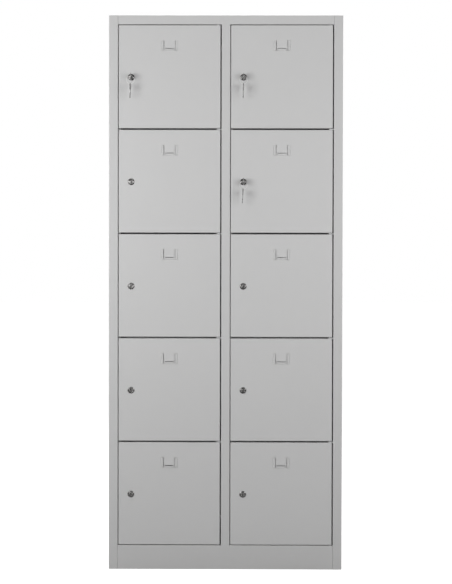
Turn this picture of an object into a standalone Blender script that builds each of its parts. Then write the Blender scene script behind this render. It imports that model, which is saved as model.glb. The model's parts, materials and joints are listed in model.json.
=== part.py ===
"""A parcel locker of folded sheet steel: two columns of five compartments behind one cabinet front.

The front faces -Y and the cabinet stands on Z = 0. Every door turns on a pivot pin let into its right
edge and shuts against a stop lip at its left edge, where a cam lock holds it. Three of the locks have
a key in them, with a second key hanging from it on a ring. All sizes are in metres.
"""

from math import asin, cos, pi, sin

import bmesh
import bpy
from mathutils import Matrix, Vector

# The whole cabinet
WIDTH = 0.780
HEIGHT = 1.850
DEPTH = 0.500
COLUMNS = ("left", "right")
ROWS = 5

# Sheet work
SHEET = 0.0008
TOUCH_GAP = 0.0003  # left between two pieces that touch
CUT_OVER = 0.001  # how far a cutter runs past the face that it opens

# Frame round the doors
STILE_WIDTH = 0.030
POST_WIDTH = 0.029
POST_DEPTH = 0.020
RAIL_HEIGHT = 0.030
RAIL_RETURN = 0.016
PLINTH_HEIGHT = 0.080
FOOT_FLANGE = 0.025
BACK_FLANGE = 0.015
STOP_LIP = 0.008
STOP_CLEARANCE = 0.0005

# Shelves
SHELF_SETBACK = 0.034
SHELF_LIP = 0.015
SHELF_HEM = 0.010

# Doors
DOOR_RETURN = 0.016
LOCK_SIDE_GAP = 0.0024
HINGE_SIDE_GAP = 0.0038
END_GAP = 0.0026
DOOR_GAP = 0.0053

# Pivot hinges
PIVOT_FROM_EDGE = 0.008
PIVOT_DEPTH = 0.008
PIN_RADIUS = 0.0025
PIN_CLEARANCE = 0.0003
PIN_ENGAGE = 0.005  # how far a pin stands inside the door's return
COLLAR_WALL = 0.002
COLLAR_HEIGHT = 0.0008
PLATE_THICKNESS = 0.0032
PLATE_LIFT = 0.0004  # between a plate and the door below it
PLATE_PAST_PIN = 0.0046
PLATE_DEPTH = 0.014
PLATE_SETBACK = 0.0002

# Card holder pressed in each door
CARD_DROP = 0.0505
CARD_WIDTH = 0.053
CARD_HEIGHT = 0.0345
CARD_SIDE_TAB = 0.0068
CARD_SIDE_LENGTH = 0.034
CARD_BOTTOM_TAB = 0.0065
CARD_BOTTOM_LENGTH = 0.026
CARD_RAISE = 0.0012
CARD_TAB_SHEET = 0.0006

# Cam locks
LOCK_FROM_EDGE = 0.042
LOCK_BELOW_MIDDLE = 0.002
ROSETTE_RADIUS = 0.0113
ROSETTE_HEIGHT = 0.0028
ROSETTE_BEVEL = 0.0014
BODY_RADIUS = 0.009
PLUG_RADIUS = 0.006
PLUG_RECESS = 0.0004
PLUG_CHAMFER = 0.0003
RUNNING_GAP = 0.0003
CAM_THICKNESS = 0.002
CAM_CLEARANCE = 0.001
CAM_HUB_RADIUS = 0.0085
CAM_TIP_RADIUS = 0.006
CAM_HOLD = 0.008  # how far the cam reaches past the edge of its stile

# Keys
KEYED_DOORS = (("left", 0), ("right", 0), ("right", 1))
KEY_THICKNESS = 0.002
BOW_RADIUS = 0.012
BOW_HOLE_RADIUS = 0.0028
BOW_HOLE_OFFSET = 0.0075
KEY_NECK = 0.006
BLADE_HEIGHT = 0.0076
BLADE_INSERTED = 0.019
BLADE_CHAMFER = 0.002
RING_RADIUS = 0.013
RING_WIRE_RADIUS = 0.001
RING_WELD = 0.0003

# Fineness of the round pieces
PIN_STEPS = 16
LOCK_STEPS = 20
ARC_STEPS = 14
RING_STEPS = 24
WIRE_STEPS = 8

# Worked out from the sizes above
OPENING_WIDTH = (WIDTH - 2 * STILE_WIDTH - (len(COLUMNS) - 1) * POST_WIDTH) / len(COLUMNS)
OPENING_HEIGHT = HEIGHT - RAIL_HEIGHT - PLINTH_HEIGHT
DOOR_WIDTH = OPENING_WIDTH - LOCK_SIDE_GAP - HINGE_SIDE_GAP
DOOR_HEIGHT = (OPENING_HEIGHT - 2 * END_GAP - (ROWS - 1) * DOOR_GAP) / ROWS
STOP_DEPTH = DOOR_RETURN + STOP_CLEARANCE
CAM_DEPTH = STOP_DEPTH + SHEET + CAM_CLEARANCE
CAM_REACH = LOCK_FROM_EDGE + LOCK_SIDE_GAP + CAM_HOLD
BOW_CENTRE = ROSETTE_HEIGHT + KEY_NECK + BOW_RADIUS
RING_STANDOFF = BOW_CENTRE + BOW_HOLE_OFFSET
KEY_REACH = RING_STANDOFF + BOW_RADIUS
FRONT = -(DEPTH - KEY_REACH) / 2
BACK = FRONT + DEPTH
INNER_HALF_WIDTH = WIDTH / 2 - SHEET - TOUCH_GAP
STILE_EDGE = WIDTH / 2 - STILE_WIDTH
BACK_PANEL_FACE = BACK - SHEET - TOUCH_GAP
INSIDE_BACK = BACK_PANEL_FACE - SHEET - TOUCH_GAP
UNDER_TOP = HEIGHT - SHEET - TOUCH_GAP
PIVOT_Y = FRONT + PIVOT_DEPTH
LOCK_X = LOCK_FROM_EDGE + PIVOT_FROM_EDGE - DOOR_WIDTH  # from the door's pivot

FORWARD = Matrix.Rotation(pi / 2, 4, "X")  # turns +Z to face out of the door


# ---------------------------------------------------------------- where things are


def column_left(column):
    """X of the left edge of a column's opening."""
    return -STILE_EDGE + column * (OPENING_WIDTH + POST_WIDTH)


def pivot_x(column):
    return column_left(column) + OPENING_WIDTH - HINGE_SIDE_GAP - PIVOT_FROM_EDGE


def door_top(row):
    return HEIGHT - RAIL_HEIGHT - END_GAP - row * (DOOR_HEIGHT + DOOR_GAP)


def door_middle(row):
    return door_top(row) - DOOR_HEIGHT / 2


# ---------------------------------------------------------------- making shapes


def clear_scene():
    for obj in list(bpy.data.objects):
        bpy.data.objects.remove(obj, do_unlink=True)


def new_collection(name):
    collection = bpy.data.collections.new(name)
    bpy.context.scene.collection.children.link(collection)
    return collection


def new_object(name, mesh, collection):
    obj = bpy.data.objects.new(name, mesh)
    collection.objects.link(obj)
    return obj


def mesh_from(bm, name):
    mesh = bpy.data.meshes.new(name)
    bm.to_mesh(mesh)
    bm.free()
    return mesh


def helper(name, mesh):
    """A cutter, or a shape that a Boolean joins to a part."""
    obj = new_object(name, mesh, helpers)
    obj.hide_render = True
    obj.display_type = "WIRE"
    return obj


def blocks(name, corners):
    """One mesh of boxes, each from its lowest and its highest corner."""
    bm = bmesh.new()
    for low, high in corners:
        low, high = Vector(low), Vector(high)
        place = Matrix.Translation((low + high) / 2) @ Matrix.Diagonal((*(high - low), 1))
        bmesh.ops.create_cube(bm, size=1, matrix=place)
    return mesh_from(bm, name)


def rods(name, ends, radius, steps):
    """One mesh of cylinders, each between two points."""
    bm = bmesh.new()
    for start, end in ends:
        start, end = Vector(start), Vector(end)
        turn = (end - start).to_track_quat("Z", "Y").to_matrix().to_4x4()
        place = Matrix.Translation((start + end) / 2) @ turn
        bmesh.ops.create_cone(
            bm, cap_ends=True, segments=steps, radius1=radius, radius2=radius,
            depth=(end - start).length, matrix=place,
        )
    return mesh_from(bm, name)


def folded_mesh(name, line, start, end):
    """An open sheet: a line of folds swept from one point to another, both on the same axis.

    The line's points lie across that axis: (x, y) for a sheet that runs up, (y, z) for one that
    runs across. Its normals point to the right of the line, seen with the axis towards the eye.
    """
    start, end = Vector(start), Vector(end)
    upright = abs(end.z - start.z) > abs(end.x - start.x)
    bm = bmesh.new()
    points = [Vector((a, b, 0)) if upright else Vector((0, a, b)) for a, b in line]
    verts = [bm.verts.new(point + start) for point in points]
    edges = [bm.edges.new(pair) for pair in zip(verts, verts[1:])]
    swept = bmesh.ops.extrude_edge_only(bm, edges=edges)["geom"]
    far = [item for item in swept if isinstance(item, bmesh.types.BMVert)]
    bmesh.ops.translate(bm, verts=far, vec=end - start)
    bmesh.ops.recalc_face_normals(bm, faces=bm.faces)
    right = (points[1] - points[0]).cross(end - start)
    if edges[0].link_faces[0].normal.dot(right) < 0:
        bmesh.ops.reverse_faces(bm, faces=bm.faces)
    return mesh_from(bm, name)


def give_thickness(obj, thickness, side):
    """Solidify, to the right or to the left of the folded line."""
    solidify = obj.modifiers.new("thickness", "SOLIDIFY")
    solidify.thickness = thickness
    solidify.offset = 1 if side == "right" else -1
    solidify.use_even_offset = True


def boolean(obj, other, operation):
    modifier = obj.modifiers.new(other.name, "BOOLEAN")
    modifier.operation = operation
    modifier.solver = "EXACT"
    modifier.object = other


def turned(name, profile, steps):
    """A turned mesh about Z, from (radius, height) points running down its outer side."""
    bm = bmesh.new()
    verts = [bm.verts.new((radius, 0, height)) for radius, height in profile]
    for pair in zip(verts, verts[1:]):
        bm.edges.new(pair)
    if profile[0][0] > 0:
        bm.edges.new((verts[-1], verts[0]))
    obj = helper(name, mesh_from(bm, name))
    screw = obj.modifiers.new("turn", "SCREW")
    screw.axis = "Z"
    screw.angle = 2 * pi
    screw.steps = steps
    screw.render_steps = steps
    screw.use_merge_vertices = True
    screw.merge_threshold = 0.00001
    return obj


def arc(centre, radius, first, last, steps):
    """Points on an arc, from one angle to another, both ends among them."""
    angles = (first + (last - first) * step / steps for step in range(steps + 1))
    return [(centre[0] + radius * cos(a), centre[1] + radius * sin(a)) for a in angles]


def flat_plate(name, loops, thickness):
    """A plate in the XY plane, halfway through its thickness at Z = 0, with holes for inner loops."""
    curve = bpy.data.curves.new(name, "CURVE")
    curve.dimensions = "2D"
    curve.fill_mode = "BOTH"
    curve.extrude = thickness / 2
    for loop in loops:
        spline = curve.splines.new("POLY")
        spline.points.add(len(loop) - 1)
        spline.use_cyclic_u = True
        for point, (x, y) in zip(spline.points, loop):
            point.co = (x, y, 0, 1)
    obj = new_object(name + "_outline", curve, helpers)
    mesh = finished_mesh(obj, name)
    bm = bmesh.new()
    bm.from_mesh(mesh)
    bmesh.ops.remove_doubles(bm, verts=bm.verts, dist=0.000001)
    bmesh.ops.recalc_face_normals(bm, faces=bm.faces)
    bm.to_mesh(mesh)
    bm.free()
    return mesh


def finished_mesh(obj, name):
    """The object's mesh with its modifiers applied; the object itself is removed."""
    bpy.context.view_layer.update()
    graph = bpy.context.evaluated_depsgraph_get()
    mesh = bpy.data.meshes.new_from_object(obj.evaluated_get(graph))
    mesh.name = name
    bpy.data.objects.remove(obj, do_unlink=True)
    return mesh


def steel(name, colour, roughness, metallic):
    material = bpy.data.materials.new(name)
    material.use_nodes = True
    shader = material.node_tree.nodes["Principled BSDF"]
    shader.inputs["Base Color"].default_value = (*colour, 1)
    shader.inputs["Roughness"].default_value = roughness
    shader.inputs["Metallic"].default_value = metallic
    return material


def part(name, mesh, material, place=(0, 0, 0), parent=None):
    obj = new_object(name, mesh, parts)
    obj.location = place
    obj.parent = parent
    if material.name not in mesh.materials:
        mesh.materials.clear()
        mesh.materials.append(material)
    return obj


def shade_round(mesh):
    mesh.shade_smooth()
    mesh.set_sharp_from_angle(angle=pi / 6)
    return mesh


# ---------------------------------------------------------------- cabinet


def side_panel_left(material, locker):
    """Wall with the lock-side stile folded at its front, ending in the lip the doors shut against."""
    line = [
        (-STILE_EDGE + STOP_LIP, FRONT + STOP_DEPTH),
        (-STILE_EDGE, FRONT + STOP_DEPTH),
        (-STILE_EDGE, FRONT),
        (-WIDTH / 2, FRONT),
        (-WIDTH / 2, BACK),
        (-WIDTH / 2 + BACK_FLANGE, BACK),
    ]
    mesh = folded_mesh("side_panel_left", line, (0, 0, 0), (0, 0, UNDER_TOP))
    panel = part("side_panel_left", mesh, material, parent=locker)
    give_thickness(panel, SHEET, "right")
    near = (-STILE_EDGE - SHEET - CUT_OVER, FRONT + STOP_DEPTH - TOUCH_GAP)
    far = (-STILE_EDGE + STOP_LIP + CUT_OVER, FRONT + STOP_DEPTH + SHEET + CUT_OVER)
    rail_edge = HEIGHT - RAIL_HEIGHT
    trims = [
        ((*near, -CUT_OVER), (*far, PLINTH_HEIGHT + TOUCH_GAP)),
        ((*near, rail_edge - TOUCH_GAP), (*far, HEIGHT)),
    ]
    boolean(panel, helper("stop_lip_trim", blocks("stop_lip_trim", trims)), "DIFFERENCE")


def side_panel_right(material, locker):
    """Wall with the hinge-side stile folded at its front, and the right column's hinge plates."""
    line = [
        (STILE_EDGE, FRONT + POST_DEPTH),
        (STILE_EDGE, FRONT),
        (WIDTH / 2, FRONT),
        (WIDTH / 2, BACK),
        (WIDTH / 2 - BACK_FLANGE, BACK),
    ]
    mesh = folded_mesh("side_panel_right", line, (0, 0, 0), (0, 0, UNDER_TOP))
    panel = part("side_panel_right", mesh, material, parent=locker)
    give_thickness(panel, SHEET, "left")
    add_hinge_plates(panel, 1, STILE_EDGE)


def add_hinge_plates(panel, column, stile_x):
    """A plate in each gap between two doors, welded through the stile's return, with its pin hole."""
    side = COLUMNS[column]
    plates = []
    holes = []
    for row in range(1, ROWS):
        bottom = door_top(row) + PLATE_LIFT
        top = bottom + PLATE_THICKNESS
        plates.append((
            (pivot_x(column) - PLATE_PAST_PIN, FRONT + PLATE_SETBACK, bottom),
            (stile_x + SHEET / 2, FRONT + PLATE_DEPTH, top),
        ))
        axis = (pivot_x(column), PIVOT_Y)
        holes.append(((*axis, bottom - CUT_OVER), (*axis, top + CUT_OVER)))
    name = f"hinge_plates_{side}"
    boolean(panel, helper(name, blocks(name, plates)), "UNION")
    name = f"hinge_plate_holes_{side}"
    cutter = rods(name, holes, PIN_RADIUS + PIN_CLEARANCE, PIN_STEPS)
    boolean(panel, helper(name, cutter), "DIFFERENCE")


def centre_partition(material, locker):
    """The wall between the columns, folded at its front into the centre post and its stop lip."""
    half = POST_WIDTH / 2
    line = [
        (-SHEET / 2, INSIDE_BACK),
        (-SHEET / 2, FRONT + POST_DEPTH),
        (-half, FRONT + POST_DEPTH),
        (-half, FRONT),
        (half, FRONT),
        (half, FRONT + STOP_DEPTH),
        (half + STOP_LIP, FRONT + STOP_DEPTH),
    ]
    foot = (0, 0, PLINTH_HEIGHT + TOUCH_GAP)
    mesh = folded_mesh("centre_partition", line, foot, (0, 0, UNDER_TOP))
    panel = part("centre_partition", mesh, material, parent=locker)
    give_thickness(panel, SHEET, "left")
    low = (-half - CUT_OVER, FRONT - CUT_OVER, HEIGHT - RAIL_HEIGHT - TOUCH_GAP)
    high = (half + STOP_LIP + CUT_OVER, FRONT + POST_DEPTH + TOUCH_GAP, HEIGHT)
    cutter = helper("rail_notch", blocks("rail_notch", [(low, high)]))
    boolean(panel, cutter, "DIFFERENCE")
    add_hinge_plates(panel, 0, -half)


def stile_notches(name, bottom, top):
    """Cutter for the two front corners, where the stiles run past a panel."""
    edge = STILE_EDGE - TOUCH_GAP
    far = WIDTH / 2 + CUT_OVER
    deep = FRONT + POST_DEPTH + TOUCH_GAP
    corners = [
        ((-far, FRONT - CUT_OVER, bottom), (-edge, deep, top)),
        ((edge, FRONT - CUT_OVER, bottom), (far, deep, top)),
    ]
    return helper(name, blocks(name, corners))


def end_studs(name, bottom, top):
    """The fixed pivots at the very top or bottom of each column."""
    ends = []
    for column in range(len(COLUMNS)):
        axis = (pivot_x(column), PIVOT_Y)
        ends.append(((*axis, bottom), (*axis, top)))
    return helper(name, rods(name, ends, PIN_RADIUS, PIN_STEPS))


def top_panel(material, locker):
    """Top sheet over both walls, folded down in front as the rail over the doors."""
    rail_edge = HEIGHT - RAIL_HEIGHT
    line = [
        (FRONT + RAIL_RETURN, rail_edge),
        (FRONT, rail_edge),
        (FRONT, HEIGHT),
        (BACK, HEIGHT),
        (BACK, HEIGHT - BACK_FLANGE),
    ]
    mesh = folded_mesh("top_panel", line, (-WIDTH / 2, 0, 0), (WIDTH / 2, 0, 0))
    panel = part("top_panel", mesh, material, parent=locker)
    give_thickness(panel, SHEET, "right")
    under = HEIGHT - SHEET
    boolean(panel, stile_notches("rail_end_notches", rail_edge - CUT_OVER, under), "DIFFERENCE")
    edge = WIDTH / 2 - BACK_FLANGE - TOUCH_GAP
    far = WIDTH / 2 + CUT_OVER
    low = HEIGHT - BACK_FLANGE - CUT_OVER
    near = BACK - SHEET - TOUCH_GAP
    corners = [
        ((-far, near, low), (-edge, BACK + CUT_OVER, under)),
        ((edge, near, low), (far, BACK + CUT_OVER, under)),
    ]
    cutter = helper("rear_flange_notches", blocks("rear_flange_notches", corners))
    boolean(panel, cutter, "DIFFERENCE")
    tip = rail_edge - END_GAP - SHEET - PIN_ENGAGE
    boolean(panel, end_studs("top_studs", tip, rail_edge + SHEET / 2), "UNION")


def base_panel(material, locker):
    """Floor of the bottom compartments, folded down as the plinth and turned under as the feet."""
    line = [
        (FRONT + FOOT_FLANGE, 0),
        (FRONT, 0),
        (FRONT, PLINTH_HEIGHT),
        (BACK_PANEL_FACE, PLINTH_HEIGHT),
        (BACK_PANEL_FACE, 0),
        (BACK_PANEL_FACE - FOOT_FLANGE, 0),
    ]
    ends = ((-INNER_HALF_WIDTH, 0, 0), (INNER_HALF_WIDTH, 0, 0))
    panel = part("base_panel", folded_mesh("base_panel", line, *ends), material, parent=locker)
    give_thickness(panel, SHEET, "right")
    notches = stile_notches("plinth_end_notches", -CUT_OVER, PLINTH_HEIGHT + CUT_OVER)
    boolean(panel, notches, "DIFFERENCE")
    tip = PLINTH_HEIGHT + END_GAP + SHEET + PIN_ENGAGE
    boolean(panel, end_studs("base_studs", PLINTH_HEIGHT - SHEET / 2, tip), "UNION")


def back_panel(material, locker):
    low = (-INNER_HALF_WIDTH, BACK_PANEL_FACE - SHEET, PLINTH_HEIGHT + TOUCH_GAP)
    high = (INNER_HALF_WIDTH, BACK_PANEL_FACE, UNDER_TOP)
    part("back_panel", blocks("back_panel", [(low, high)]), material, parent=locker)


def shelves(material, locker):
    """A shelf behind every gap between two doors, its edges folded down and its front hemmed."""
    web = SHEET / 2 + TOUCH_GAP
    spans = {"left": (-INNER_HALF_WIDTH, -web), "right": (web, INNER_HALF_WIDTH)}
    line = [
        (FRONT + SHELF_SETBACK + SHELF_HEM, -SHELF_LIP),
        (FRONT + SHELF_SETBACK, -SHELF_LIP),
        (FRONT + SHELF_SETBACK, 0),
        (INSIDE_BACK, 0),
        (INSIDE_BACK, -SHELF_LIP),
    ]
    for side, (near, far) in spans.items():
        mesh = folded_mesh(f"shelf_{side}", line, (near, 0, 0), (far, 0, 0))
        for row in range(1, ROWS):
            place = (0, 0, door_top(row) + DOOR_GAP / 2)
            shelf = part(f"shelf_{side}_{row}", mesh, material, place, locker)
            give_thickness(shelf, SHEET, "right")


# ---------------------------------------------------------------- doors and hinges


def door_mesh():
    """A pan with its origin on the hinge axis, halfway up: pivot holes, lock hole and card holder."""
    right = PIVOT_FROM_EDGE
    left = right - DOOR_WIDTH
    low = Vector((left, -PIVOT_DEPTH, -DOOR_HEIGHT / 2))
    high = Vector((right, DOOR_RETURN - PIVOT_DEPTH, DOOR_HEIGHT / 2))
    mesh = blocks("door", [(low, high)])
    bm = bmesh.new()
    bm.from_mesh(mesh)
    inner = max(bm.faces, key=lambda face: face.calc_center_median().y)
    bmesh.ops.delete(bm, geom=[inner], context="FACES")
    bm.to_mesh(mesh)
    bm.free()
    pan = new_object("door_pan", mesh, helpers)
    give_thickness(pan, SHEET, "left")

    half = DOOR_HEIGHT / 2
    pivots = [
        ((0, 0, side * (half - SHEET - CUT_OVER)), (0, 0, side * (half + CUT_OVER)))
        for side in (1, -1)
    ]
    cutter = rods("pivot_holes", pivots, PIN_RADIUS + PIN_CLEARANCE, PIN_STEPS)
    boolean(pan, helper("pivot_holes", cutter), "DIFFERENCE")
    centre = (LOCK_X, -LOCK_BELOW_MIDDLE)
    start = (centre[0], -PIVOT_DEPTH - CUT_OVER, centre[1])
    end = (centre[0], -PIVOT_DEPTH + SHEET + CUT_OVER, centre[1])
    cutter = rods("lock_hole", [(start, end)], BODY_RADIUS + TOUCH_GAP, LOCK_STEPS)
    boolean(pan, helper("lock_hole", cutter), "DIFFERENCE")
    for tab in card_tabs(half - CARD_DROP, right - DOOR_WIDTH / 2):
        boolean(pan, tab, "UNION")
    return finished_mesh(pan, "door")


def card_tabs(top, middle):
    """Three tabs lanced up from the door's face: a card slides down behind them from above."""
    root = -PIVOT_DEPTH + SHEET / 2
    crest = -PIVOT_DEPTH - CARD_RAISE
    half = CARD_WIDTH / 2
    bottom = top - CARD_HEIGHT
    sides = {"left": -1, "right": 1}
    tabs = []
    for side, sign in sides.items():
        edge = middle + sign * half
        line = [(edge, root), (edge, crest), (edge - sign * CARD_SIDE_TAB, crest)]
        ends = ((0, 0, top - CARD_SIDE_LENGTH), (0, 0, top))
        tab = helper(f"card_tab_{side}", folded_mesh(f"card_tab_{side}", line, *ends))
        give_thickness(tab, CARD_TAB_SHEET, "right" if sign < 0 else "left")
        tabs.append(tab)
    line = [(root, bottom), (crest, bottom), (crest, bottom + CARD_BOTTOM_TAB)]
    near = middle - CARD_BOTTOM_LENGTH / 2
    ends = ((near, 0, 0), (near + CARD_BOTTOM_LENGTH, 0, 0))
    tab = helper("card_tab_bottom", folded_mesh("card_tab_bottom", line, *ends))
    give_thickness(tab, CARD_TAB_SHEET, "right")
    tabs.append(tab)
    return tabs


def pin_mesh():
    """A hinge pin with its collar, with its origin at the middle of the plate."""
    half = PLATE_THICKNESS / 2
    above = DOOR_GAP - PLATE_LIFT - PLATE_THICKNESS
    top = half + above + SHEET + PIN_ENGAGE
    bottom = -half - PLATE_LIFT - SHEET - PIN_ENGAGE
    collar = PIN_RADIUS + COLLAR_WALL
    seat = half + TOUCH_GAP
    profile = [
        (0, top),
        (PIN_RADIUS, top),
        (PIN_RADIUS, seat + COLLAR_HEIGHT),
        (collar, seat + COLLAR_HEIGHT),
        (collar, seat),
        (PIN_RADIUS, seat),
        (PIN_RADIUS, bottom),
        (0, bottom),
    ]
    return shade_round(finished_mesh(turned("hinge_pin", profile, PIN_STEPS), "hinge_pin"))


def hinge_pins(material, locker):
    mesh = pin_mesh()
    for column, side in enumerate(COLUMNS):
        for row in range(1, ROWS):
            middle = door_top(row) + PLATE_LIFT + PLATE_THICKNESS / 2
            place = (pivot_x(column), PIVOT_Y, middle)
            part(f"hinge_pin_{side}_{row}", mesh, material, place, locker)


# ---------------------------------------------------------------- locks


def housing_mesh():
    """Rosette and body of a cam lock, bored for its plug. Height 0 is the door's face."""
    bore = PLUG_RADIUS + RUNNING_GAP
    back = -(CAM_DEPTH - RUNNING_GAP)
    profile = [
        (bore, ROSETTE_HEIGHT),
        (ROSETTE_RADIUS - ROSETTE_BEVEL, ROSETTE_HEIGHT),
        (ROSETTE_RADIUS, ROSETTE_HEIGHT - ROSETTE_BEVEL),
        (ROSETTE_RADIUS, TOUCH_GAP),
        (BODY_RADIUS, TOUCH_GAP),
        (BODY_RADIUS, back),
        (bore, back),
    ]
    mesh = finished_mesh(turned("lock_housing", profile, LOCK_STEPS), "lock_housing")
    mesh.transform(FORWARD)
    return shade_round(mesh)


def plug_mesh():
    """Plug with its keyway, and the cam that points down when the lock is open."""
    face = ROSETTE_HEIGHT - PLUG_RECESS
    profile = [
        (0, face),
        (PLUG_RADIUS - PLUG_CHAMFER, face),
        (PLUG_RADIUS, face - PLUG_CHAMFER),
        (PLUG_RADIUS, -CAM_DEPTH - CAM_THICKNESS / 2),
        (0, -CAM_DEPTH - CAM_THICKNESS / 2),
    ]
    plug = turned("lock_plug", profile, LOCK_STEPS)
    hub = arc((0, 0), CAM_HUB_RADIUS, 0, pi, ARC_STEPS)
    tip = arc((0, -CAM_REACH + CAM_TIP_RADIUS), CAM_TIP_RADIUS, pi, 2 * pi, ARC_STEPS // 2)
    mesh = flat_plate("lock_cam", [hub + tip], CAM_THICKNESS)
    mesh.transform(Matrix.Translation((0, 0, -CAM_DEPTH - CAM_THICKNESS / 2)))
    boolean(plug, helper("lock_cam", mesh), "UNION")
    half_width = KEY_THICKNESS / 2 + RUNNING_GAP
    half_height = BLADE_HEIGHT / 2 + RUNNING_GAP
    floor = ROSETTE_HEIGHT - BLADE_INSERTED - RUNNING_GAP
    low = (-half_width, -half_height, floor)
    high = (half_width, half_height, face + CUT_OVER)
    boolean(plug, helper("keyway", blocks("keyway", [(low, high)])), "DIFFERENCE")
    mesh = finished_mesh(plug, "lock_plug")
    mesh.transform(FORWARD)
    return shade_round(mesh)


# ---------------------------------------------------------------- keys


def key_mesh(name):
    """A flat key in the XY plane, its bow round the origin and its blade along +X."""
    half = BLADE_HEIGHT / 2
    tip = BOW_RADIUS + KEY_NECK + BLADE_INSERTED
    opening = asin(half / BOW_RADIUS)  # the angle where the blade leaves the bow
    bow = arc((0, 0), BOW_RADIUS, opening, 2 * pi - opening, ARC_STEPS)
    blade = [
        (tip - BLADE_CHAMFER, -half),
        (tip, -half + BLADE_CHAMFER),
        (tip, half - BLADE_CHAMFER),
        (tip - BLADE_CHAMFER, half),
    ]
    hole = arc((-BOW_HOLE_OFFSET, 0), BOW_HOLE_RADIUS, 0, 2 * pi, ARC_STEPS)[:-1]
    return flat_plate(name, [bow + blade, hole], KEY_THICKNESS)


def axes(x, y, z):
    """The turn that sends +X, +Y and +Z to the three given directions."""
    return Matrix((x, y, z)).transposed().to_4x4()


def inserted_key_mesh():
    """Key in its lock, on edge, with its origin where the lock's axis meets the door's face."""
    mesh = key_mesh("key")
    turn = axes((0, 1, 0), (0, 0, 1), (1, 0, 0))
    mesh.transform(Matrix.Translation((0, -BOW_CENTRE, 0)) @ turn)
    return mesh


def key_ring_mesh():
    """Ring with the second key hanging from it, with its origin in the first key's bow hole."""
    bpy.ops.mesh.primitive_torus_add(
        major_radius=RING_RADIUS, minor_radius=RING_WIRE_RADIUS,
        major_segments=RING_STEPS, minor_segments=WIRE_STEPS, location=(0, 0, -RING_RADIUS),
        rotation=(pi / 2, 0, 0),
    )
    ring = bpy.context.object
    hang = BOW_HOLE_RADIUS - RING_WIRE_RADIUS + RING_WELD
    hole = -2 * RING_RADIUS - hang
    mesh = key_mesh("second_key")
    turn = axes((0, 0, -1), (0, 1, 0), (1, 0, 0))
    mesh.transform(Matrix.Translation((0, 0, hole - BOW_HOLE_OFFSET)) @ turn)
    mesh.transform(ring.matrix_world.inverted())
    second = helper("second_key", mesh)
    second.matrix_world = ring.matrix_world
    boolean(ring, second, "UNION")
    place = ring.matrix_world.copy()
    mesh = finished_mesh(ring, "key_ring")
    mesh.transform(place)
    return mesh


# ---------------------------------------------------------------- the whole locker


def doors(coat, chrome, cam_steel, key_steel, ring_steel, locker):
    """Each door carries its lock, and the lock of a keyed door carries the keys."""
    door = door_mesh()
    housing = housing_mesh()
    plug = plug_mesh()
    key = inserted_key_mesh()
    ring = key_ring_mesh()
    in_door = (LOCK_X, -PIVOT_DEPTH, -LOCK_BELOW_MIDDLE)
    for column, side in enumerate(COLUMNS):
        for row in range(ROWS):
            label = f"{side}_{row + 1}"
            place = (pivot_x(column), PIVOT_Y, door_middle(row))
            leaf = part(f"door_{label}", door, coat, place, locker)
            part(f"lock_housing_{label}", housing, chrome, in_door, leaf)
            turning = part(f"lock_plug_{label}", plug, cam_steel, in_door, leaf)
            if (side, row) in KEYED_DOORS:
                part(f"key_{label}", key, key_steel, parent=turning)
                hole = (0, -RING_STANDOFF, 0)
                part(f"key_ring_{label}", ring, ring_steel, hole, turning)


def build():
    locker = bpy.data.objects.new("locker", None)
    parts.objects.link(locker)
    cabinet_coat = steel("cabinet powder coat", (0.62, 0.62, 0.62), 0.55, 0)
    door_coat = steel("door powder coat", (0.64, 0.64, 0.64), 0.52, 0)
    inner_coat = steel("inner powder coat", (0.60, 0.60, 0.60), 0.6, 0)
    chrome = steel("polished nickel", (0.62, 0.61, 0.60), 0.16, 1)
    plug_steel = steel("plug steel", (0.5, 0.5, 0.49), 0.3, 1)
    zinc = steel("zinc-plated steel", (0.66, 0.67, 0.68), 0.32, 1)
    key_steel = steel("key steel", (0.55, 0.55, 0.54), 0.28, 1)
    ring_steel = steel("ring steel", (0.5, 0.5, 0.5), 0.22, 1)
    side_panel_left(cabinet_coat, locker)
    side_panel_right(cabinet_coat, locker)
    top_panel(cabinet_coat, locker)
    base_panel(cabinet_coat, locker)
    back_panel(inner_coat, locker)
    centre_partition(cabinet_coat, locker)
    shelves(inner_coat, locker)
    hinge_pins(zinc, locker)
    doors(door_coat, chrome, plug_steel, key_steel, ring_steel, locker)


clear_scene()
parts = new_collection("parcel_locker")
helpers = new_collection("cutters")
build()
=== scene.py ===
# %% [markdown]
# # A parcel locker of folded sheet steel
# The locker is a cabinet of two columns and five rows. Each door is a shallow steel pan that turns on
# pins at its right edge and is held at its left edge by a cam lock; three of the locks have their keys in
# them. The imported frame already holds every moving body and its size. What follows gives each piece the
# shape and the finish of the real one: bent sheet with round folds, pressed card holders, turned locks,
# cut keys.

# %% Load the frame
import json
from math import cos, pi, radians, sin, tau

import bmesh
import bpy
from mathutils import Matrix, Vector

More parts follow.
